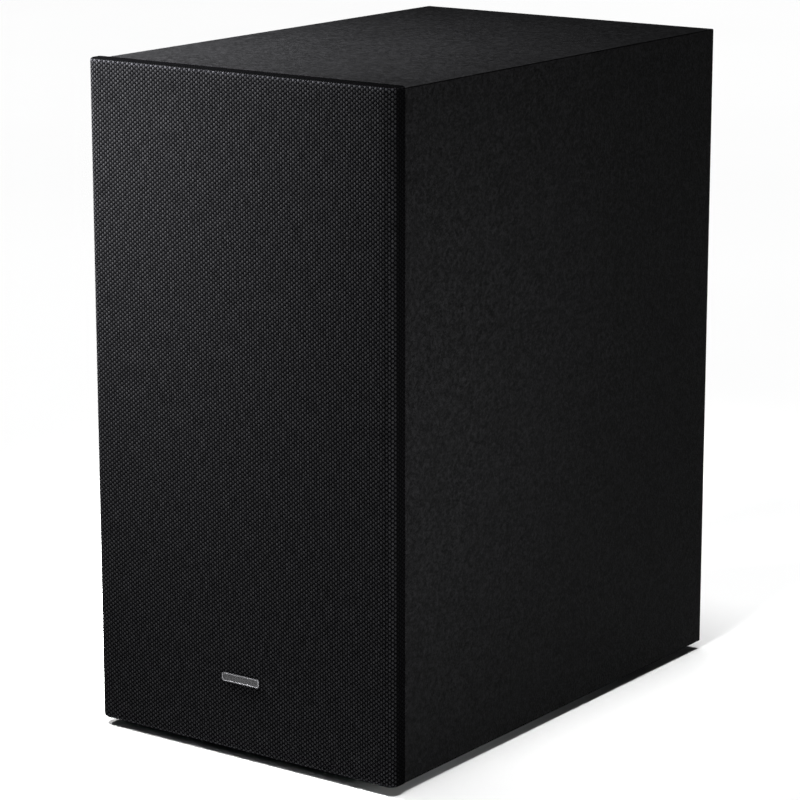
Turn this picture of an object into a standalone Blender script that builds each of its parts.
"""A compact wireless subwoofer for a living-room sound system.

A cabinet of wrapped board stands on four rubber feet. A cloth grille on pegs covers the front, with
a long-throw woofer behind it. A flared port and an amplifier panel are in the rear board.

Metres, +Z up. The grille faces -Y, and +X is to the right of someone who looks at it. The origin is
on the floor, under the middle of the whole object's box.
"""

import math

import bmesh
import bpy
from mathutils import Vector

# ---------------------------------------------------------------- driving dimensions

FIT_GAP = 0.0003  # between pieces that rest on, seat in or pass through each other

# Cabinet
CABINET_WIDTH = 0.184
CABINET_HEIGHT = 0.3375
CABINET_DEPTH = 0.279
BOARD = 0.009  # top, bottom, side and rear boards
BAFFLE = 0.016

# Feet
FOOT_HEIGHT = 0.0045  # the cabinet's underside above the floor
FOOT_RADIUS = 0.010
FOOT_EDGE = 0.0012
FOOT_INSET = 0.023  # a foot's centre in from the cabinet's edges

# Grille
GRILLE_DEPTH = 0.0098  # the cloth's front ahead of the cabinet's front edge
GRILLE_SIDE_PROUD = 0.0009
GRILLE_RISE = 0.0012  # above the cabinet's top
GRILLE_DROP = 0.0001  # below the cabinet's underside
GRILLE_CORNER = 0.0054  # radius of the upright edges
GRILLE_EDGE = 0.0013  # radius of the front edge along the top and bottom
SHADOW_GAP = 0.0005  # between the grille and the cabinet's front edge
CLOTH = 0.0006
CLOTH_TURN_IN = 0.008  # width of cloth glued to the back of the rim
RIM = 0.012
FACE_PLATE = 0.002
WINDOW_MARGIN = 0.004  # the window's edge inside the woofer flange's edge

# Grille pegs and the sockets that hold them
PEG_RADIUS = 0.0023
PEG_REACH = 0.009  # how far a peg goes into the baffle
PEG_BOSS = 0.0055
PEG_MARGIN = 0.013  # a peg's centre in from the cabinet's inner faces
SOCKET_WALL = 0.0019
SOCKET_FLANGE = 0.0015  # the flange's edge beyond the barrel
SOCKET_FLANGE_THICKNESS = 0.0008
SOCKET_LENGTH = 0.010

# Maker's plate on the cloth
BADGE_WIDTH = 0.023
BADGE_HEIGHT = 0.0042
BADGE_THICKNESS = 0.0008
BADGE_UP = 0.0374  # its middle above the cabinet's underside

# Woofer. Its radii step inwards from the flange, which fills the baffle between the side boards.
FLANGE_LAND = 0.004  # baffle left between the rebate and the baffle's side edge
FLANGE_CLEARANCE = 0.0007
FLANGE_WIDTH = 0.013
BASKET_CLEARANCE = 0.001  # between the basket's wall and the baffle's bore
FLANGE = 0.0015
GASKET = 0.0015
REBATE = 0.0065
BASKET_WALL = 0.0015
BASKET_MOUTH = 0.0020  # the wall's outside beyond the flange's inner edge
SPIDER_LEDGE_WIDTH = 0.0085
SPIDER_SEAT = 0.0225  # depth of the spider's ledge behind the flange
BASKET_TAPER = 0.013  # how much the wall's radius shrinks down to the ledge
CUP_TAPER = 0.004
BASKET_DEPTH = 0.040
BASKET_EYE = 0.0015  # its back opening beyond the top plate's bore
WINDOWS = 6
WINDOW_HALF_ANGLE = math.radians(24)
WINDOW_TOP = 0.004
WINDOW_BOTTOM = 0.0185
WINDOW_REACH = 0.004  # how far the windows' cutter reaches inside the ledge's edge
WOOFER_SCREW_INSET = 0.0048  # the screw circle inside the flange's edge
WOOFER_SCREWS = 4

SURROUND = 0.0008
ROLL_WIDTH = 0.010
SURROUND_LIP = 0.004
CONE = 0.0009
CONE_FLAT = 0.004  # flat rim that the surround is glued to
CONE_CURVE = 0.8  # below 1 the wall is steeper near the neck
CONE_NECK_DEPTH = 0.017
DUST_CAP_RADIUS = 0.023
DUST_CAP_RISE = 0.007
DUST_CAP = 0.0008

POLE_RADIUS = 0.0153
POLE_VENT = 0.004
FORMER = 0.0004
COIL = 0.0009
COIL_HEIGHT = 0.013
FORMER_TAIL = 0.005  # bare former below the winding
FORMER_RISE = 0.002  # former above the cone's neck
MAGNET_GAP_CLEARANCE = 0.0004
TOP_PLATE_RADIUS = 0.040
MOTOR_PLATE = 0.005
MAGNET_INNER = 0.021
MAGNET_RADIUS = 0.045
MAGNET_HEIGHT = 0.015
YOKE_RADIUS = 0.042
SPIDER = 0.0008
SPIDER_WAVE = 0.0010
SPIDER_WAVES = 4
SPIDER_CLEARANCE = 0.0015  # its edge inside the ledge's edge
SPIDER_FLAT = 0.003  # flat rings inside and outside the waves
STRIP_WIDTH = 0.016
STRIP_LENGTH = 0.013
STRIP = 0.0016
CUP_CLEARANCE = 0.0015  # between the strip and the basket's cup
TINSEL_RADIUS = 0.0006
TINSEL_SPREAD = 0.004

# Port
PORT_BORE = 0.025  # radius
PORT_WALL = 0.002
PORT_LENGTH = 0.118
PORT_FLARE = 0.008
PORT_LIP = 0.0025  # flange proud of the rear board
PORT_FLANGE = 0.004  # flat ring outside the flare
PORT_EDGE = 0.001
PORT_MARGIN = CABINET_HEIGHT * 0.0652  # the flange's edge below the cabinet's inner top face

# Amplifier panel
AMP_WIDTH = 0.120
AMP_HEIGHT = 0.150
AMP_PLATE = 0.0016
AMP_GASKET = 0.0008
GASKET_INSET = 0.0005
AMP_CORNER = 0.004
AMP_MARGIN = CABINET_HEIGHT * 0.0593  # its lower edge above the cabinet's inner bottom face
AMP_OVERLAP = 0.010  # panel edge that lies on the rear board
AMP_SCREW_INSET = 0.0055
POST_RADIUS = 0.0025
POST_LENGTH = 0.0141
BOARD_WIDTH = 0.086
BOARD_HEIGHT = 0.092
PCB = 0.0016
BOARD_RAISE = 0.020  # the circuit board's middle above the panel's

# Mains inlet
INLET_DROP = 0.053  # below the panel's middle
INLET_HALF_SPAN = 0.0038  # between the middles of its two round ends
INLET_ROUND = 0.0042
INLET_DEPTH = 0.012
INLET_WALL = 0.0018
INLET_RIM = 0.0012
INLET_RIM_WIDTH = 0.0035
PIN_RADIUS = 0.0012
PIN_SPACING = 0.0086
PIN_LENGTH = 0.010
PIN_TAIL = 0.006

# Pairing button, its switch and the status light
CONTROL_X = 0.020
CONTROL_RAISE = 0.052  # above the panel's middle
BUTTON_RADIUS = 0.0030
BUTTON_PROUD = 0.0010
BUTTON_EDGE = 0.0004
BUTTON_TRAVEL = 0.0007
BUTTON_FLANGE = 0.0042
BUTTON_FLANGE_THICKNESS = 0.001
STEM_RADIUS = 0.0012
SWITCH_SIZE = 0.006
SWITCH_HEIGHT = 0.0037
SWITCH_BORE_FLOOR = 0.0007
LENS_RADIUS = 0.0015
LENS_LENGTH = 0.008
LENS_X = 0.006

# Circuit board parts: sizes, and places from the board's middle, seen from behind the object
TRANSFORMER_SIZE = (0.042, 0.036)
TRANSFORMER_DEPTH = 0.034
TRANSFORMER_AT = (-0.018, -0.022)
CAPACITOR_RADIUS = 0.011
CAPACITOR_DEPTH = 0.030
CAPACITOR_BEAD = 0.002
CAPACITOR_AT = (0.016, -0.008)
FINS = 8
FIN = 0.0016
FIN_PITCH = 0.0076
FIN_DEPTH = 0.026
SINK_BASE = 0.004
SINK_HEIGHT = 0.018
SINK_AT = (-0.008, 0.031)
RADIO_SIZE = (0.014, 0.024)
RADIO_DEPTH = 0.003
RADIO_AT = (0.033, 0.016)
PLUG_SIZE = (0.010, 0.008)
PLUG_DEPTH = 0.009
SOCKET_DEPTH = 0.006
PLUG_AT = (0.030, -0.034)
POST_INSET = 0.005

# Screws
WOOFER_SCREW = {"head": 0.0034, "rise": 0.0022, "shank": 0.0018, "length": 0.014}
AMP_SCREW = {"head": 0.0030, "rise": 0.0015, "shank": 0.0014, "length": 0.011}

# Wiring and wadding
WIRE_RADIUS = 0.0008
WIRE_SPACING = 0.0036
WIRE_SAG = 0.030
PAD = 0.006
PAD_MARGIN = 0.030

# How finely round pieces are divided, and how far a cutter runs past the face that it cuts
LARGE = 36
MEDIUM = 28
SMALL = 16
TINY = 12
PAST = 0.002

# ---------------------------------------------------------------- sizes that follow

INNER_WIDTH = CABINET_WIDTH - 2 * BOARD
INNER_BOTTOM = FOOT_HEIGHT + BOARD
CABINET_TOP = FOOT_HEIGHT + CABINET_HEIGHT
INNER_TOP = CABINET_TOP - BOARD

AMP_PROUD = AMP_PLATE + AMP_GASKET + 2 * FIT_GAP
FRONT_REACH = GRILLE_DEPTH + FIT_GAP + BADGE_THICKNESS
REAR_REACH = AMP_PROUD + FIT_GAP + AMP_SCREW["rise"]
FRONT_Y = FRONT_REACH - (FRONT_REACH + CABINET_DEPTH + REAR_REACH) / 2
REAR_Y = FRONT_Y + CABINET_DEPTH

REBATE_RADIUS = INNER_WIDTH / 2 - FIT_GAP - FLANGE_LAND
FLANGE_RADIUS = REBATE_RADIUS - FLANGE_CLEARANCE
FLANGE_INNER = FLANGE_RADIUS - FLANGE_WIDTH
BASKET_RADIUS = FLANGE_INNER + BASKET_MOUTH
BAFFLE_BORE = BASKET_RADIUS + BASKET_CLEARANCE
SCREW_CIRCLE = FLANGE_RADIUS - WOOFER_SCREW_INSET
WINDOW_RADIUS = FLANGE_RADIUS - WINDOW_MARGIN
WOOFER_UP = (INNER_BOTTOM + INNER_TOP) / 2
WOOFER_BACK = REBATE - GASKET - 2 * FIT_GAP  # the flange's back behind the baffle's front

ROLL_MIDDLE = FLANGE_INNER + SURROUND / 2 - ROLL_WIDTH / 2
ROLL_HALF = ROLL_WIDTH / 2
CONE_RADIUS = ROLL_MIDDLE - ROLL_HALF - FIT_GAP
CONE_TOP = FLANGE
FORMER_RADIUS = POLE_RADIUS + MAGNET_GAP_CLEARANCE
COIL_INNER = FORMER_RADIUS + FORMER + FIT_GAP
COIL_OUTER = COIL_INNER + COIL
CONE_NECK = COIL_INNER
TOP_PLATE_BORE = COIL_OUTER + MAGNET_GAP_CLEARANCE
MOTOR_TOP = -BASKET_DEPTH - FIT_GAP
MAGNET_TOP = MOTOR_TOP - MOTOR_PLATE - FIT_GAP
YOKE_TOP = MAGNET_TOP - MAGNET_HEIGHT - FIT_GAP
COIL_MIDDLE = MOTOR_TOP - MOTOR_PLATE / 2

PORT_OUTER = PORT_BORE + PORT_WALL
PORT_FLANGE_RADIUS = PORT_BORE + PORT_FLARE + PORT_FLANGE
PORT_UP = INNER_TOP - PORT_MARGIN - PORT_FLANGE_RADIUS
AMP_UP = INNER_BOTTOM + AMP_MARGIN + AMP_HEIGHT / 2
PCB_FRONT = -AMP_PLATE - POST_LENGTH - FIT_GAP
PCB_BACK = PCB_FRONT - PCB

PEG_X = INNER_WIDTH / 2 - PEG_MARGIN
PEG_UPS = {"bottom": INNER_BOTTOM + PEG_MARGIN, "top": INNER_TOP - PEG_MARGIN}
SOCKET_BORE = PEG_RADIUS + FIT_GAP
SOCKET_RADIUS = SOCKET_BORE + SOCKET_WALL


# ---------------------------------------------------------------- shapes

def circle(radius, segments, middle=(0.0, 0.0), start=0.0):
    """Points round a circle, anticlockwise."""
    turn = 2 * math.pi / segments
    points = []
    for k in range(segments):
        angle = start + turn * k
        points.append((middle[0] + radius * math.cos(angle), middle[1] + radius * math.sin(angle)))
    return points


def arc(middle, radius, start, end, steps):
    """Points along an arc, both ends included; angles in degrees."""
    points = []
    for k in range(steps + 1):
        angle = math.radians(start + (end - start) * k / steps)
        points.append((middle[0] + radius * math.cos(angle), middle[1] + radius * math.sin(angle)))
    return points


def rectangle(width, height, radius=0.0, steps=3):
    """A rectangle round the origin, anticlockwise, with round corners if a radius is given."""
    half_x = width / 2 - radius
    half_y = height / 2 - radius
    corners = ((half_x, half_y), (-half_x, half_y), (-half_x, -half_y), (half_x, -half_y))
    if radius == 0.0:
        return list(corners)
    points = []
    for number, corner in enumerate(corners):
        points += arc(corner, radius, 90 * number, 90 * (number + 1), steps)
    return points


def add_loft(shape, rings):
    """Adds a closed body through rings of points, capped at both ends."""
    made = [[shape.verts.new(point) for point in ring] for ring in rings]
    count = len(made[0])
    for low, high in zip(made, made[1:]):
        for k in range(count):
            shape.faces.new((low[k], low[(k + 1) % count], high[(k + 1) % count], high[k]))
    shape.faces.new(list(reversed(made[0])))
    shape.faces.new(made[-1])
    return shape


def loft(rings):
    return add_loft(bmesh.new(), rings)


def add_prism(shape, outline, bottom, top):
    """Adds an outline in XY, extruded between two heights."""
    return add_loft(shape, [[(x, y, z) for x, y in outline] for z in (bottom, top)])


def prism(outline, bottom, top):
    return add_prism(bmesh.new(), outline, bottom, top)


def block(low, high):
    """A box between two corners."""
    outline = ((low[0], low[1]), (high[0], low[1]), (high[0], high[1]), (low[0], high[1]))
    return prism(outline, low[2], high[2])


def turned(outline, segments):
    """A closed outline of (radius, height) points, turned about Z."""
    shape = bmesh.new()
    rings = []
    for radius, height in outline:
        if radius == 0.0:
            rings.append([shape.verts.new((0.0, 0.0, height))])
        else:
            rings.append([shape.verts.new((x, y, height)) for x, y in circle(radius, segments)])
    for low, high in zip(rings, rings[1:] + rings[:1]):
        if len(low) == 1 and len(high) == 1:
            continue
        for k in range(segments):
            after = (k + 1) % segments
            near = [low[k % len(low)], low[after % len(low)]]
            far = [high[after % len(high)], high[k % len(high)]]
            shape.faces.new(list(dict.fromkeys(near + far)))
    return shape


def drums(places, radius, bottom, top, segments):
    """Upright cylinders at several places, in one mesh, for cutting or welding."""
    shape = bmesh.new()
    for place in places:
        add_prism(shape, circle(radius, segments, place), bottom, top)
    return shape


# ---------------------------------------------------------------- objects

def finish(name, colour, roughness, metallic=0.0):
    made = bpy.data.materials.new(name)
    made.use_nodes = True
    shader = made.node_tree.nodes["Principled BSDF"]
    shader.inputs["Base Color"].default_value = (*colour, 1.0)
    shader.inputs["Roughness"].default_value = roughness
    shader.inputs["Metallic"].default_value = metallic
    return made


def placed(made, parent, place):
    made.parent = parent
    made.location = place
    bpy.context.scene.collection.objects.link(made)
    return made


def mesh_from(name, shape):
    bmesh.ops.recalc_face_normals(shape, faces=shape.faces[:])
    mesh = bpy.data.meshes.new(name)
    shape.to_mesh(mesh)
    shape.free()
    return mesh


def piece(name, shape, material, parent=None, place=(0, 0, 0), smooth=False):
    """A named sub-part made from a bmesh."""
    mesh = mesh_from(name, shape)
    mesh.materials.append(material)
    if smooth:
        mesh.shade_smooth()
        mesh.set_sharp_from_angle(angle=math.radians(32))
    return placed(bpy.data.objects.new(name, mesh), parent, place)


def frame(name, place, rotation=(0, 0, 0), parent=None):
    """An empty that carries pieces in a frame of their own."""
    made = placed(bpy.data.objects.new(name, None), parent, place)
    made.rotation_euler = [math.radians(angle) for angle in rotation]
    return made


def carve(target, name, shape, operation="DIFFERENCE"):
    """Cuts a shape, given in the piece's own frame, out of a piece, or welds it on."""
    tool = placed(bpy.data.objects.new(name, mesh_from(name, shape)), target, (0, 0, 0))
    tool.display_type = "WIRE"
    tool.hide_render = True
    change = target.modifiers.new(name, "BOOLEAN")
    change.operation = operation
    change.solver = "EXACT"
    change.object = tool


def wire(name, points, radius, material, parent=None):
    """A round wire with filled ends through points."""
    curve = bpy.data.curves.new(name, "CURVE")
    curve.dimensions = "3D"
    curve.bevel_depth = radius
    curve.bevel_resolution = 1
    curve.use_fill_caps = True
    spline = curve.splines.new("POLY")
    spline.points.add(len(points) - 1)
    for point, place in zip(spline.points, points):
        point.co = (*place, 1.0)
    curve.materials.append(material)
    return placed(bpy.data.objects.new(name, curve), parent, (0, 0, 0))


def bezier(ends, steps):
    """Points along a cubic curve from its four control points."""
    points = []
    for k in range(steps + 1):
        t = k / steps
        weights = ((1 - t) ** 3, 3 * t * (1 - t) ** 2, 3 * t * t * (1 - t), t**3)
        points.append(sum((weight * Vector(end) for weight, end in zip(weights, ends)), Vector()))
    return points


def screw_outline(size, seat):
    """Half of a pan-head screw whose head sits at a height."""
    crown = size["head"] * 0.65
    tip = size["shank"] * 1.4
    return [
        (0.0, seat + size["rise"]),
        (crown, seat + size["rise"]),
        (size["head"], seat + size["rise"] * 0.45),
        (size["head"], seat),
        (size["shank"], seat),
        (size["shank"], seat - size["length"] + tip),
        (0.0, seat - size["length"]),
    ]


# ---------------------------------------------------------------- cabinet

def make_shell(vinyl):
    """Top, bottom and side boards, folded together at mitred corners."""
    half_width = CABINET_WIDTH / 2
    half_height = CABINET_HEIGHT / 2
    mitre = FIT_GAP / math.sqrt(2)
    middle = (0, (FRONT_Y + REAR_Y) / 2, FOOT_HEIGHT + half_height)
    boards = {
        "top_panel": (half_width, half_height, 0),
        "right_panel": (half_height, half_width, 90),
        "bottom_panel": (half_width, half_height, 180),
        "left_panel": (half_height, half_width, 270),
    }
    for name, (half, away, turn) in boards.items():
        outline = [
            (-half + mitre, away),
            (-half + BOARD + mitre, away - BOARD),
            (half - BOARD - mitre, away - BOARD),
            (half - mitre, away),
        ]
        board = piece(name, prism(outline, -CABINET_DEPTH / 2, CABINET_DEPTH / 2), vinyl, None, middle)
        board.rotation_euler = (math.radians(90), math.radians(turn), 0)


def make_feet(rubber):
    outline = [
        (0.0, 0.0),
        (FOOT_RADIUS - FOOT_EDGE, 0.0),
        (FOOT_RADIUS, FOOT_EDGE),
        (FOOT_RADIUS, FOOT_HEIGHT - FIT_GAP),
        (0.0, FOOT_HEIGHT - FIT_GAP),
    ]
    across = CABINET_WIDTH / 2 - FOOT_INSET
    for end, y in (("front", FRONT_Y + FOOT_INSET), ("rear", REAR_Y - FOOT_INSET)):
        for side, x in (("left", -across), ("right", across)):
            piece(f"foot_{end}_{side}", turned(outline, SMALL), rubber, None, (x, y, 0), smooth=True)


def inner_board(name, thickness, material, parent):
    """A board that fills the cabinet's inside, with its outer face in its frame's XY plane."""
    height = INNER_TOP - INNER_BOTTOM
    outline = rectangle(INNER_WIDTH - 2 * FIT_GAP, height - 2 * FIT_GAP)
    return piece(name, prism(outline, -thickness, 0), material, parent, (0, INNER_BOTTOM + height / 2, 0))


def from_middle(up):
    """A height above the floor, as a height above the middle of an inner board."""
    return up - (INNER_BOTTOM + INNER_TOP) / 2


def woofer_screw_places():
    return circle(SCREW_CIRCLE, WOOFER_SCREWS, start=math.pi / WOOFER_SCREWS)


def make_baffle(board, front):
    """The front board, rebated and bored for the woofer, with holes for the grille's sockets."""
    baffle = inner_board("front_baffle", BAFFLE, board, front)
    up = from_middle(WOOFER_UP)
    seat = [
        (0.0, PAST),
        (REBATE_RADIUS, PAST),
        (REBATE_RADIUS, -REBATE),
        (BAFFLE_BORE, -REBATE),
        (BAFFLE_BORE, -BAFFLE - PAST),
        (0.0, -BAFFLE - PAST),
    ]
    bore = turned(seat, LARGE)
    bmesh.ops.translate(bore, verts=bore.verts, vec=(0, up, 0))
    carve(baffle, "woofer_seat", bore)
    pilots = [(x, y + up) for x, y in woofer_screw_places()]
    pilot_radius = WOOFER_SCREW["shank"] + FIT_GAP
    carve(baffle, "woofer_pilots", drums(pilots, pilot_radius, -BAFFLE - PAST, PAST - REBATE, TINY))
    pegs = [(x, from_middle(h)) for x in (-PEG_X, PEG_X) for h in PEG_UPS.values()]
    carve(baffle, "socket_holes", drums(pegs, SOCKET_RADIUS + FIT_GAP, -BAFFLE - PAST, PAST, TINY))


def amp_screw_places():
    """Screws down both edges of the amplifier panel, from its middle."""
    across = AMP_WIDTH / 2 - AMP_SCREW_INSET
    up = AMP_HEIGHT / 2 - AMP_SCREW_INSET
    return [(x, y) for x in (-across, across) for y in (-up, 0, up)]


def make_rear_board(board, rear):
    """The rear board, with a hole for the port, a cut-out for the amplifier and pilot holes."""
    panel = inner_board("rear_panel", BOARD, board, rear)
    port = drums([(0, from_middle(PORT_UP))], PORT_OUTER + FIT_GAP, -BOARD - PAST, PAST, LARGE)
    carve(panel, "port_hole", port)
    opening = rectangle(AMP_WIDTH - 2 * AMP_OVERLAP, AMP_HEIGHT - 2 * AMP_OVERLAP)
    opening = [(x, y + from_middle(AMP_UP)) for x, y in opening]
    carve(panel, "amp_cutout", prism(opening, -BOARD - PAST, PAST))
    pilots = [(x, y + from_middle(AMP_UP)) for x, y in amp_screw_places()]
    carve(panel, "amp_pilots", drums(pilots, AMP_SCREW["shank"] + FIT_GAP, -BOARD - PAST, PAST, TINY))


# ---------------------------------------------------------------- grille

def grille_ring(inset, back, up):
    """The grille's plan at one height: square at the back, with round front corners."""
    half = CABINET_WIDTH / 2 + GRILLE_SIDE_PROUD - inset
    out = GRILLE_DEPTH - inset
    radius = max(GRILLE_CORNER - inset, GRILLE_CORNER / 4)
    steps = 5
    plan = [(half, back)]
    plan += arc((half - radius, out - radius), radius, 0, 90, steps)
    plan += arc((radius - half, out - radius), radius, 90, 180, steps)
    plan += [(-half, back)]
    return [(x, up, z) for x, z in plan]


def grille_form(inset, back, steps):
    """The grille's outer form, moved in by a distance; its front edges are rounded top and bottom."""
    low = FOOT_HEIGHT - GRILLE_DROP + inset
    high = CABINET_TOP + GRILLE_RISE - inset
    radius = GRILLE_EDGE - inset
    rings = []
    for k in range(steps + 1):
        angle = math.radians(90 * k / steps)
        rings.append((inset + radius * (1 - math.sin(angle)), radius * (1 - math.cos(angle))))
    lower = [grille_ring(extra, back, low + rise) for extra, rise in rings]
    upper = [grille_ring(extra, back, high - rise) for extra, rise in reversed(rings)]
    return loft(lower + upper)


def grille_pocket(margin, back, front):
    """A block inside the grille's form, a margin in from its edges."""
    half = CABINET_WIDTH / 2 + GRILLE_SIDE_PROUD - margin
    low = FOOT_HEIGHT - GRILLE_DROP + margin
    high = CABINET_TOP + GRILLE_RISE - margin
    return block((-half, low, back), (half, high, front))


def make_grille(cloth, plastic, silver, front):
    """Cloth drawn over a moulded frame, which pegs hold in the baffle."""
    carrier = frame("grille_carrier", (0, 0, 0), parent=front)
    under_cloth = CLOTH + FIT_GAP
    back = SHADOW_GAP

    cover = piece("grille_cloth", grille_form(0.0, back, 3), cloth, carrier, smooth=True)
    carve(cover, "cloth_inside", grille_form(CLOTH, back + CLOTH, 2))
    mouth = grille_pocket(CLOTH + CLOTH_TURN_IN, back - PAST, back + CLOTH + PAST)
    carve(cover, "cloth_mouth", mouth)

    rim_back = back + under_cloth
    plate_back = GRILLE_DEPTH - under_cloth - FACE_PLATE
    moulding = piece("grille_frame", grille_form(under_cloth, rim_back, 1), plastic, carrier, smooth=True)
    carve(moulding, "frame_pocket", grille_pocket(under_cloth + RIM, rim_back - PAST, plate_back))
    window = drums([(0, WOOFER_UP)], WINDOW_RADIUS, plate_back - PAST, GRILLE_DEPTH + PAST, LARGE)
    carve(moulding, "frame_window", window)
    pegs = [(x, up) for x in (-PEG_X, PEG_X) for up in PEG_UPS.values()]
    into_plate = plate_back + FACE_PLATE / 2
    carve(moulding, "peg_bosses", drums(pegs, PEG_BOSS, rim_back, into_plate, TINY), "UNION")
    inside_boss = rim_back + FACE_PLATE / 2
    carve(moulding, "pegs", drums(pegs, PEG_RADIUS, -PEG_REACH, inside_boss, TINY), "UNION")

    plate = rectangle(BADGE_WIDTH, BADGE_HEIGHT, BADGE_HEIGHT * 0.25)
    shape = prism(plate, 0, BADGE_THICKNESS)
    piece("badge", shape, silver, carrier, (0, FOOT_HEIGHT + BADGE_UP, GRILLE_DEPTH + FIT_GAP))


def make_sockets(rubber, front):
    flange = SOCKET_RADIUS + SOCKET_FLANGE
    outline = [
        (SOCKET_BORE, FIT_GAP + SOCKET_FLANGE_THICKNESS),
        (flange, FIT_GAP + SOCKET_FLANGE_THICKNESS),
        (flange, FIT_GAP),
        (SOCKET_RADIUS, FIT_GAP),
        (SOCKET_RADIUS, -SOCKET_LENGTH),
        (SOCKET_BORE, -SOCKET_LENGTH),
    ]
    for row, up in PEG_UPS.items():
        for side, x in (("left", -PEG_X), ("right", PEG_X)):
            name = f"grille_socket_{row}_{side}"
            piece(name, turned(outline, TINY), rubber, front, (x, up, 0), smooth=True)


# ---------------------------------------------------------------- woofer

def cone_back(radius):
    """Height of the cone's back face at a radius, in the woofer's frame."""
    flat = CONE_RADIUS - CONE_FLAT
    share = min(max((radius - CONE_NECK) / (flat - CONE_NECK), 0.0), 1.0)
    rim = CONE_TOP - CONE
    return rim - CONE_NECK_DEPTH * (1 - share**CONE_CURVE)


def make_basket(metal, woofer):
    """The pressed frame: flange, windowed wall, spider ledge and the cup that holds the motor."""
    ledge_outer = BASKET_RADIUS - BASKET_TAPER
    ledge_inner = ledge_outer - SPIDER_LEDGE_WIDTH
    cup = ledge_inner - CUP_TAPER
    wall = BASKET_WALL
    lean = wall * 0.8
    eye = TOP_PLATE_BORE + BASKET_EYE
    outline = [
        (FLANGE_RADIUS, FLANGE),
        (FLANGE_RADIUS, 0.0),
        (BASKET_RADIUS, 0.0),
        (ledge_outer, -SPIDER_SEAT),
        (ledge_inner, -SPIDER_SEAT),
        (cup, -BASKET_DEPTH),
        (eye, -BASKET_DEPTH),
        (eye, wall - BASKET_DEPTH),
        (cup - lean, wall - BASKET_DEPTH),
        (ledge_inner - lean, wall - SPIDER_SEAT),
        (ledge_outer - lean, wall - SPIDER_SEAT),
        (FLANGE_INNER, FLANGE),
    ]
    basket = piece("woofer_basket", turned(outline, LARGE), metal, woofer, smooth=True)

    inside = ledge_outer - WINDOW_REACH
    windows = bmesh.new()
    for k in range(WINDOWS):
        middle = math.pi / 2 + 2 * math.pi * k / WINDOWS
        corners = []
        for radius, side in ((inside, -1), (FLANGE_RADIUS, -1), (FLANGE_RADIUS, 1), (inside, 1)):
            angle = middle + side * WINDOW_HALF_ANGLE
            corners.append((radius * math.cos(angle), radius * math.sin(angle)))
        add_prism(windows, corners, -WINDOW_BOTTOM, -WINDOW_TOP)
    carve(basket, "basket_windows", windows)
    hole = WOOFER_SCREW["shank"] + FIT_GAP
    carve(basket, "flange_holes", drums(woofer_screw_places(), hole, -PAST / 2, FLANGE + PAST, TINY))


def make_gasket(foam, woofer):
    inner = BAFFLE_BORE + FIT_GAP
    outer = FLANGE_RADIUS - FIT_GAP
    top = -FIT_GAP
    outline = [(inner, top), (outer, top), (outer, top - GASKET), (inner, top - GASKET)]
    gasket = piece("woofer_gasket", turned(outline, LARGE), foam, woofer, smooth=True)
    hole = WOOFER_SCREW["shank"] + FIT_GAP
    carve(gasket, "gasket_holes", drums(woofer_screw_places(), hole, top - GASKET - PAST, PAST, TINY))


def make_surround(rubber, woofer):
    """A half roll with a flat lip on each side."""
    seat = FLANGE + FIT_GAP
    middle = (ROLL_MIDDLE, seat + SURROUND / 2)
    front_radius = ROLL_HALF + SURROUND / 2
    foot = math.degrees(math.asin(SURROUND / 2 / front_radius))
    steps = 7
    front = arc(middle, front_radius, foot, 180 - foot, steps)
    back = arc((ROLL_MIDDLE, seat), ROLL_HALF, 180, 0, steps)
    inner_edge = ROLL_MIDDLE - ROLL_HALF - SURROUND_LIP
    outer_edge = ROLL_MIDDLE + ROLL_HALF + SURROUND_LIP
    outline = [(outer_edge, seat), (outer_edge, seat + SURROUND)] + front
    outline += [(inner_edge, seat + SURROUND), (inner_edge, seat)] + back
    piece("surround", turned(outline, LARGE), rubber, woofer, smooth=True)


def make_cone(paper, carrier):
    steps = 5
    flat = CONE_RADIUS - CONE_FLAT
    radii = [CONE_NECK + (flat - CONE_NECK) * k / steps for k in range(steps + 1)] + [CONE_RADIUS]
    outline = [(radius, cone_back(radius)) for radius in radii]
    outline += [(radius, cone_back(radius) + CONE) for radius in reversed(radii)]
    piece("cone", turned(outline, LARGE), paper, carrier, smooth=True)


def make_dust_cap(cover, carrier):
    """A shallow dome whose edge rests on the cone's face."""
    edge = cone_back(DUST_CAP_RADIUS) + CONE + FIT_GAP
    sphere = (DUST_CAP_RADIUS**2 + DUST_CAP_RISE**2) / (2 * DUST_CAP_RISE)
    steps = 4

    def dome(radius):
        return math.sqrt(sphere**2 - radius**2) - (sphere - DUST_CAP_RISE)

    radii = [DUST_CAP_RADIUS * k / steps for k in range(steps + 1)]
    outline = [(radius, edge + dome(radius)) for radius in radii]
    outline += [(radius, edge + DUST_CAP + dome(radius)) for radius in reversed(radii)]
    piece("dust_cap", turned(outline, MEDIUM), cover, carrier, smooth=True)


def make_coil(card, copper, carrier):
    """The former, glued in the cone's neck, and the winding that hangs in the magnet's gap."""
    top = cone_back(CONE_NECK) + FORMER_RISE
    bottom = COIL_MIDDLE - COIL_HEIGHT / 2 - FORMER_TAIL
    inner, outer = FORMER_RADIUS, FORMER_RADIUS + FORMER
    outline = [(inner, bottom), (outer, bottom), (outer, top), (inner, top)]
    piece("coil_former", turned(outline, MEDIUM), card, carrier, smooth=True)
    low, high = COIL_MIDDLE - COIL_HEIGHT / 2, COIL_MIDDLE + COIL_HEIGHT / 2
    outline = [(COIL_INNER, low), (COIL_OUTER, low), (COIL_OUTER, high), (COIL_INNER, high)]
    piece("voice_coil", turned(outline, MEDIUM), copper, carrier, smooth=True)


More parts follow.
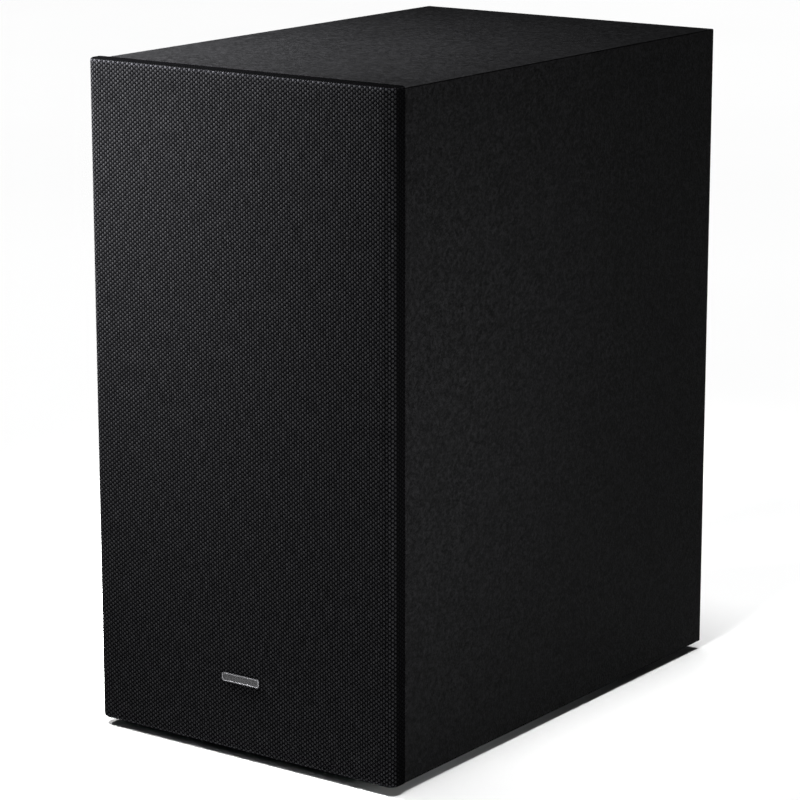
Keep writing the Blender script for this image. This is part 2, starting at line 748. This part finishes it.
def make_spider(cloth, woofer):
    """A corrugated disc between the former and the basket's ledge."""
    ledge_outer = BASKET_RADIUS - BASKET_TAPER
    seat = BASKET_WALL - SPIDER_SEAT + FIT_GAP
    level = seat + SPIDER / 2
    inner, outer = COIL_INNER, ledge_outer - SPIDER_CLEARANCE
    wave_start, wave_end = inner + SPIDER_FLAT, ledge_outer - SPIDER_LEDGE_WIDTH - SPIDER_FLAT
    centre = [(inner, level), (wave_start, level)]
    turns = 2 * SPIDER_WAVES
    for k in range(turns):
        radius = wave_start + (wave_end - wave_start) * (k + 0.5) / turns
        centre.append((radius, level + SPIDER_WAVE * (-1) ** k))
    centre += [(wave_end, level), (outer, level)]
    outline = [(radius, height - SPIDER / 2) for radius, height in centre]
    outline += [(radius, height + SPIDER / 2) for radius, height in reversed(centre)]
    piece("spider", turned(outline, MEDIUM), cloth, woofer, smooth=True)


def make_motor(steel, ferrite, woofer):
    """Top plate, ring magnet, and the yoke whose vented pole stands inside the coil."""
    top = [
        (TOP_PLATE_BORE, MOTOR_TOP),
        (TOP_PLATE_RADIUS, MOTOR_TOP),
        (TOP_PLATE_RADIUS, MOTOR_TOP - MOTOR_PLATE),
        (TOP_PLATE_BORE, MOTOR_TOP - MOTOR_PLATE),
    ]
    piece("magnet_top_plate", turned(top, MEDIUM), steel, woofer, smooth=True)
    ring = [
        (MAGNET_INNER, MAGNET_TOP),
        (MAGNET_RADIUS, MAGNET_TOP),
        (MAGNET_RADIUS, MAGNET_TOP - MAGNET_HEIGHT),
        (MAGNET_INNER, MAGNET_TOP - MAGNET_HEIGHT),
    ]
    piece("magnet_ring", turned(ring, MEDIUM), ferrite, woofer, smooth=True)
    yoke = [
        (POLE_VENT, MOTOR_TOP),
        (POLE_RADIUS, MOTOR_TOP),
        (POLE_RADIUS, YOKE_TOP),
        (YOKE_RADIUS, YOKE_TOP),
        (YOKE_RADIUS, YOKE_TOP - MOTOR_PLATE),
        (POLE_VENT, YOKE_TOP - MOTOR_PLATE),
    ]
    piece("magnet_yoke", turned(yoke, MEDIUM), steel, woofer, smooth=True)


def strip_middle():
    """The terminal strip's distance below the woofer's axis."""
    return BASKET_RADIUS - BASKET_TAPER - SPIDER_LEDGE_WIDTH + CUP_CLEARANCE + STRIP_LENGTH / 2


def make_terminals(card, braid, woofer):
    """The strip under the spider's ledge, and the flexible leads from it to the cone."""
    top = -SPIDER_SEAT - FIT_GAP
    outline = rectangle(STRIP_WIDTH, STRIP_LENGTH)
    piece("terminal_strip", prism(outline, top - STRIP, top), card, woofer, (0, -strip_middle(), 0))

    start = strip_middle() + STRIP_LENGTH / 2 - 2 * TINSEL_RADIUS
    wall = BASKET_RADIUS - BASKET_TAPER / 2
    land = (CONE_NECK + CONE_RADIUS) / 2 - 0.004
    end = cone_back(land) - FIT_GAP - TINSEL_RADIUS / 2
    for side, x in (("left", -TINSEL_SPREAD), ("right", TINSEL_SPREAD)):
        outside = [
            (x, -start, top + FIT_GAP),
            (x, -start - 0.001, top + 0.005),
            (x, -wall - 0.004, -WINDOW_BOTTOM + 0.004),
            (x, -wall + 0.001, -(WINDOW_BOTTOM + WINDOW_TOP) / 2 - 0.001),
        ]
        direction = Vector(outside[3]) - Vector(outside[2])
        inside = [
            outside[3],
            Vector(outside[3]) + direction,
            (x, -land, end - 0.008),
            (x, -land, end),
        ]
        points = bezier(outside, 5)[:-1] + bezier(inside, 7)
        wire(f"tinsel_lead_{side}", points, TINSEL_RADIUS, braid, woofer)


def make_woofer(finishes, front):
    woofer = frame("woofer_frame", (0, WOOFER_UP, -WOOFER_BACK), parent=front)
    carrier = frame("cone_carrier", (0, 0, 0), parent=woofer)
    make_basket(finishes["basket_paint"], woofer)
    make_gasket(finishes["foam"], woofer)
    make_surround(finishes["rubber"], woofer)
    make_cone(finishes["paper"], carrier)
    make_dust_cap(finishes["dust_cap"], carrier)
    make_coil(finishes["card"], finishes["copper"], carrier)
    make_spider(finishes["spider_cloth"], woofer)
    make_motor(finishes["steel"], finishes["ferrite"], woofer)
    make_terminals(finishes["card"], finishes["braid"], woofer)
    outline = screw_outline(WOOFER_SCREW, FLANGE + FIT_GAP)
    for number, (x, y) in enumerate(woofer_screw_places(), 1):
        screw = turned(outline, TINY)
        piece(f"woofer_screw_{number}", screw, finishes["black_zinc"], woofer, (x, y, 0), smooth=True)


# ---------------------------------------------------------------- port

def make_port(plastic, rear):
    """A straight tube with a flared, flanged mouth in the rear board."""
    flare_middle = (PORT_BORE + PORT_FLARE, PORT_LIP - PORT_FLARE)
    outline = [
        (PORT_FLANGE_RADIUS, FIT_GAP),
        (PORT_FLANGE_RADIUS, PORT_LIP - PORT_EDGE),
        (PORT_FLANGE_RADIUS - PORT_EDGE, PORT_LIP),
    ]
    outline += arc(flare_middle, PORT_FLARE, 90, 180, 4)
    outline += [(PORT_BORE, -PORT_LENGTH), (PORT_OUTER, -PORT_LENGTH), (PORT_OUTER, FIT_GAP)]
    piece("port_tube", turned(outline, LARGE), plastic, rear, (0, PORT_UP, 0), smooth=True)


# ---------------------------------------------------------------- amplifier

def stadium(half_span, radius, steps=5):
    """An outline with two round ends."""
    return arc((half_span, 0), radius, -90, 90, steps) + arc((-half_span, 0), radius, 90, 270, steps)


def post_places():
    across = BOARD_WIDTH / 2 - POST_INSET
    up = BOARD_HEIGHT / 2 - POST_INSET
    return [(x, BOARD_RAISE + y) for x in (-across, across) for y in (-up, up)]


def make_amp_panel(paint, amp):
    """The metal panel, with holes for its screws, inlet, button and light, and posts for the board."""
    plate = rectangle(AMP_WIDTH, AMP_HEIGHT, AMP_CORNER)
    panel = piece("amp_panel", prism(plate, -AMP_PLATE, 0), paint, amp)
    hole = AMP_SCREW["shank"] + FIT_GAP
    carve(panel, "screw_holes", drums(amp_screw_places(), hole, -AMP_PLATE - PAST, PAST, TINY))
    barrel = stadium(INLET_HALF_SPAN, INLET_ROUND + INLET_WALL + FIT_GAP)
    barrel = [(x, y - INLET_DROP) for x, y in barrel]
    carve(panel, "inlet_hole", prism(barrel, -AMP_PLATE - PAST, PAST))
    for name, x, radius in (("button", CONTROL_X, BUTTON_RADIUS), ("lens", LENS_X, LENS_RADIUS)):
        hole = drums([(x, CONTROL_RAISE)], radius + FIT_GAP, -AMP_PLATE - PAST, PAST, SMALL)
        carve(panel, f"{name}_hole", hole)
    posts = drums(post_places(), POST_RADIUS, -AMP_PLATE - POST_LENGTH, -AMP_PLATE / 2, TINY)
    carve(panel, "posts", posts, "UNION")


def make_amp_gasket(foam, amp):
    top = -AMP_PLATE - FIT_GAP
    plate = rectangle(AMP_WIDTH - 2 * GASKET_INSET, AMP_HEIGHT - 2 * GASKET_INSET, AMP_CORNER)
    gasket = piece("amp_gasket", prism(plate, top - AMP_GASKET, top), foam, amp)
    opening = rectangle(AMP_WIDTH - 2 * AMP_OVERLAP, AMP_HEIGHT - 2 * AMP_OVERLAP)
    carve(gasket, "gasket_opening", prism(opening, top - AMP_GASKET - PAST, PAST))
    hole = AMP_SCREW["shank"] + FIT_GAP
    holes = drums(amp_screw_places(), hole, top - AMP_GASKET - PAST, PAST, TINY)
    carve(gasket, "gasket_screw_holes", holes)


def make_inlet(plastic, brass, amp):
    """A two-pole mains inlet: a deep shroud with a rim outside the panel, and its two pins."""
    shroud = stadium(INLET_HALF_SPAN, INLET_ROUND + INLET_WALL)
    rim = stadium(INLET_HALF_SPAN, INLET_ROUND + INLET_WALL + INLET_RIM_WIDTH)
    well = stadium(INLET_HALF_SPAN, INLET_ROUND)
    floor = INLET_RIM + FIT_GAP - INLET_DEPTH
    back = floor - INLET_WALL
    inlet = piece("ac_inlet", prism(rim, FIT_GAP, FIT_GAP + INLET_RIM), plastic, amp, (0, -INLET_DROP, 0))
    carve(inlet, "shroud", prism(shroud, back, FIT_GAP + INLET_RIM / 2), "UNION")
    carve(inlet, "well", prism(well, floor, INLET_RIM + PAST))
    pins = [(-PIN_SPACING / 2, 0), (PIN_SPACING / 2, 0)]
    carve(inlet, "pin_holes", drums(pins, PIN_RADIUS + FIT_GAP, back - PAST, floor + PAST, TINY))

    tip = floor + PIN_LENGTH
    outline = [
        (0.0, tip),
        (PIN_RADIUS * 0.6, tip),
        (PIN_RADIUS, tip - PIN_RADIUS),
        (PIN_RADIUS, back - PIN_TAIL),
        (0.0, back - PIN_TAIL),
    ]
    for side, x in (("left", -PIN_SPACING / 2), ("right", PIN_SPACING / 2)):
        piece(f"ac_pin_{side}", turned(outline, TINY), brass, amp, (x, -INLET_DROP, 0), smooth=True)


def make_controls(button_finish, switch_finish, lens_finish, amp):
    """The pairing button, the switch that it presses, and the status light's lens."""
    flange_top = -AMP_PLATE - FIT_GAP
    switch_top = PCB_FRONT + FIT_GAP + SWITCH_HEIGHT
    stem_tip = PCB_FRONT + FIT_GAP + SWITCH_BORE_FLOOR + 2 * BUTTON_TRAVEL
    outline = [
        (0.0, BUTTON_PROUD),
        (BUTTON_RADIUS - BUTTON_EDGE, BUTTON_PROUD),
        (BUTTON_RADIUS, BUTTON_PROUD - BUTTON_EDGE),
        (BUTTON_RADIUS, flange_top),
        (BUTTON_FLANGE, flange_top),
        (BUTTON_FLANGE, flange_top - BUTTON_FLANGE_THICKNESS),
        (STEM_RADIUS, flange_top - BUTTON_FLANGE_THICKNESS),
        (STEM_RADIUS, stem_tip),
        (0.0, stem_tip),
    ]
    place = (CONTROL_X, CONTROL_RAISE, 0)
    piece("id_button", turned(outline, SMALL), button_finish, amp, place, smooth=True)

    body = rectangle(SWITCH_SIZE, SWITCH_SIZE)
    switch = piece("tact_switch", prism(body, PCB_FRONT + FIT_GAP, switch_top), switch_finish, amp, place)
    bore_floor = PCB_FRONT + FIT_GAP + SWITCH_BORE_FLOOR
    bore = drums([(0, 0)], STEM_RADIUS + FIT_GAP, bore_floor, switch_top + PAST, TINY)
    carve(switch, "switch_bore", bore)

    outline = [
        (0.0, BUTTON_PROUD),
        (LENS_RADIUS * 0.6, BUTTON_PROUD * 0.8),
        (LENS_RADIUS, BUTTON_PROUD * 0.3),
        (LENS_RADIUS, BUTTON_PROUD - LENS_LENGTH),
        (0.0, BUTTON_PROUD - LENS_LENGTH),
    ]
    piece("led_lens", turned(outline, TINY), lens_finish, amp, (LENS_X, CONTROL_RAISE, 0), smooth=True)


def on_board(place):
    """A place given from the circuit board's middle, in the amplifier's frame."""
    return (place[0], BOARD_RAISE + place[1], 0)


def make_electronics(finishes, amp):
    """The circuit board and what stands on its inner side."""
    outline = rectangle(BOARD_WIDTH, BOARD_HEIGHT)
    board = prism(outline, PCB_BACK, PCB_FRONT)
    piece("main_board", board, finishes["circuit_board"], amp, on_board((0, 0)))

    seat = PCB_BACK - FIT_GAP
    transformer = prism(rectangle(*TRANSFORMER_SIZE, 0.003, 2), seat - TRANSFORMER_DEPTH, seat)
    piece("power_transformer", transformer, finishes["steel"], amp, on_board(TRANSFORMER_AT))
    can = [
        (0.0, seat),
        (CAPACITOR_RADIUS, seat),
        (CAPACITOR_RADIUS, seat - CAPACITOR_DEPTH + CAPACITOR_BEAD),
        (CAPACITOR_RADIUS - CAPACITOR_BEAD / 2, seat - CAPACITOR_DEPTH),
        (0.0, seat - CAPACITOR_DEPTH),
    ]
    can = turned(can, SMALL)
    piece("bulk_capacitor", can, finishes["can_sleeve"], amp, on_board(CAPACITOR_AT), smooth=True)
    piece("heat_sink", heat_sink_form(seat), finishes["aluminium"], amp, on_board(SINK_AT))
    radio = prism(rectangle(*RADIO_SIZE), seat - RADIO_DEPTH, seat)
    piece("wireless_module", radio, finishes["shield_can"], amp, on_board(RADIO_AT))

    body = rectangle(*PLUG_SIZE)
    socket = prism(body, seat - SOCKET_DEPTH, seat)
    piece("speaker_socket", socket, finishes["white_nylon"], amp, on_board(PLUG_AT))
    plug_top = seat - SOCKET_DEPTH - FIT_GAP
    plug = prism(body, plug_top - PLUG_DEPTH, plug_top)
    piece("speaker_plug", plug, finishes["white_nylon"], amp, on_board(PLUG_AT))


def heat_sink_form(seat):
    """A comb of fins on a base that stands on the board, extruded upwards."""
    half = (FINS - 1) * FIN_PITCH / 2
    outline = [(half + FIN / 2, seat), (-half - FIN / 2, seat)]
    for k in range(FINS):
        left = k * FIN_PITCH - half - FIN / 2
        outline += [(left, seat - FIN_DEPTH), (left + FIN, seat - FIN_DEPTH)]
        if k < FINS - 1:
            outline += [(left + FIN, seat - SINK_BASE), (left + FIN_PITCH, seat - SINK_BASE)]
    return loft([[(x, y, z) for x, z in outline] for y in (-SINK_HEIGHT / 2, SINK_HEIGHT / 2)])


def make_amplifier(finishes, rear):
    amp = frame("amp_frame", (0, AMP_UP, AMP_PROUD), parent=rear)
    make_amp_panel(finishes["panel_paint"], amp)
    make_amp_gasket(finishes["foam"], amp)
    make_inlet(finishes["moulded_black"], finishes["brass"], amp)
    make_controls(finishes["button"], finishes["moulded_black"], finishes["lens"], amp)
    make_electronics(finishes, amp)
    outline = screw_outline(AMP_SCREW, FIT_GAP)
    for number, (x, y) in enumerate(amp_screw_places(), 1):
        screw = turned(outline, TINY)
        piece(f"amp_screw_{number}", screw, finishes["black_zinc"], amp, (x, y, 0), smooth=True)


# ---------------------------------------------------------------- wiring and wadding

def make_speaker_wires(finishes):
    """Two wires from the amplifier's plug to the woofer's terminal strip, in a slack loop."""
    plug_end = PCB_BACK - SOCKET_DEPTH - PLUG_DEPTH - 3 * FIT_GAP
    start_y = REAR_Y + AMP_PROUD + plug_end
    start_up = AMP_UP + BOARD_RAISE + PLUG_AT[1]
    strip_back = -SPIDER_SEAT - STRIP - 2 * FIT_GAP
    end_y = FRONT_Y + WOOFER_BACK - strip_back
    end_up = WOOFER_UP - strip_middle()
    pull = (start_y - end_y) * 0.4
    for name, side in (("red", -0.5), ("black", 0.5)):
        offset = side * WIRE_SPACING
        start = (-PLUG_AT[0] + offset, start_y, start_up)
        end = (2 * offset, end_y, end_up)
        after = (start[0], start_y - pull, start_up - WIRE_SAG)
        before = (end[0], end_y + pull, end_up - WIRE_SAG)
        route = bezier((start, after, before, end), 18)
        wire(f"speaker_wire_{name}", route, WIRE_RADIUS, finishes[f"{name}_sleeve"])


def make_wadding(wadding):
    """A pad of wadding on the inside of the left board."""
    low = (-INNER_WIDTH / 2 + FIT_GAP, FRONT_Y + BAFFLE + PAD_MARGIN, INNER_BOTTOM + PAD_MARGIN)
    high = (low[0] + PAD, REAR_Y - BOARD - PAD_MARGIN, INNER_TOP - PAD_MARGIN)
    piece("damping_pad", block(low, high), wadding)


# ---------------------------------------------------------------- the whole object

def main():
    for old in list(bpy.data.objects):
        bpy.data.objects.remove(old, do_unlink=True)
    looks = {
        "vinyl": ((0.022, 0.022, 0.024), 0.55, 0.0),
        "board_brown": ((0.20, 0.13, 0.08), 0.85, 0.0),
        "baffle_paint": ((0.012, 0.012, 0.013), 0.80, 0.0),
        "rubber": ((0.016, 0.016, 0.017), 0.75, 0.0),
        "cloth": ((0.020, 0.020, 0.022), 0.95, 0.0),
        "moulded_black": ((0.018, 0.018, 0.020), 0.50, 0.0),
        "silver": ((0.48, 0.48, 0.49), 0.32, 0.9),
        "basket_paint": ((0.015, 0.015, 0.016), 0.55, 0.4),
        "foam": ((0.020, 0.020, 0.021), 0.95, 0.0),
        "paper": ((0.028, 0.028, 0.029), 0.90, 0.0),
        "dust_cap": ((0.020, 0.020, 0.021), 0.60, 0.0),
        "card": ((0.35, 0.23, 0.12), 0.80, 0.0),
        "copper": ((0.72, 0.32, 0.18), 0.35, 1.0),
        "spider_cloth": ((0.55, 0.38, 0.16), 0.85, 0.0),
        "steel": ((0.45, 0.45, 0.44), 0.40, 1.0),
        "ferrite": ((0.045, 0.045, 0.048), 0.70, 0.1),
        "braid": ((0.62, 0.36, 0.22), 0.45, 1.0),
        "black_zinc": ((0.030, 0.030, 0.032), 0.35, 0.8),
        "panel_paint": ((0.020, 0.020, 0.021), 0.60, 0.0),
        "brass": ((0.66, 0.56, 0.38), 0.28, 1.0),
        "button": ((0.030, 0.030, 0.032), 0.40, 0.0),
        "lens": ((0.80, 0.82, 0.85), 0.12, 0.0),
        "circuit_board": ((0.020, 0.16, 0.06), 0.45, 0.0),
        "can_sleeve": ((0.030, 0.035, 0.090), 0.35, 0.0),
        "aluminium": ((0.62, 0.62, 0.63), 0.38, 1.0),
        "shield_can": ((0.70, 0.70, 0.68), 0.30, 1.0),
        "white_nylon": ((0.74, 0.72, 0.66), 0.50, 0.0),
        "red_sleeve": ((0.50, 0.020, 0.018), 0.45, 0.0),
        "black_sleeve": ((0.020, 0.020, 0.022), 0.45, 0.0),
        "wadding": ((0.72, 0.72, 0.70), 1.00, 0.0),
    }
    finishes = {name: finish(name, *values) for name, values in looks.items()}

    front = frame("front_frame", (0, FRONT_Y, 0), (90, 0, 0))
    rear = frame("rear_frame", (0, REAR_Y, 0), (90, 0, 180))

    make_shell(finishes["vinyl"])
    make_feet(finishes["rubber"])
    make_baffle(finishes["baffle_paint"], front)
    make_rear_board(finishes["vinyl"], rear)
    make_sockets(finishes["rubber"], front)
    make_grille(finishes["cloth"], finishes["moulded_black"], finishes["silver"], front)
    make_woofer(finishes, front)
    make_port(finishes["moulded_black"], rear)
    make_amplifier(finishes, rear)
    make_speaker_wires(finishes)
    make_wadding(finishes["wadding"])


main()
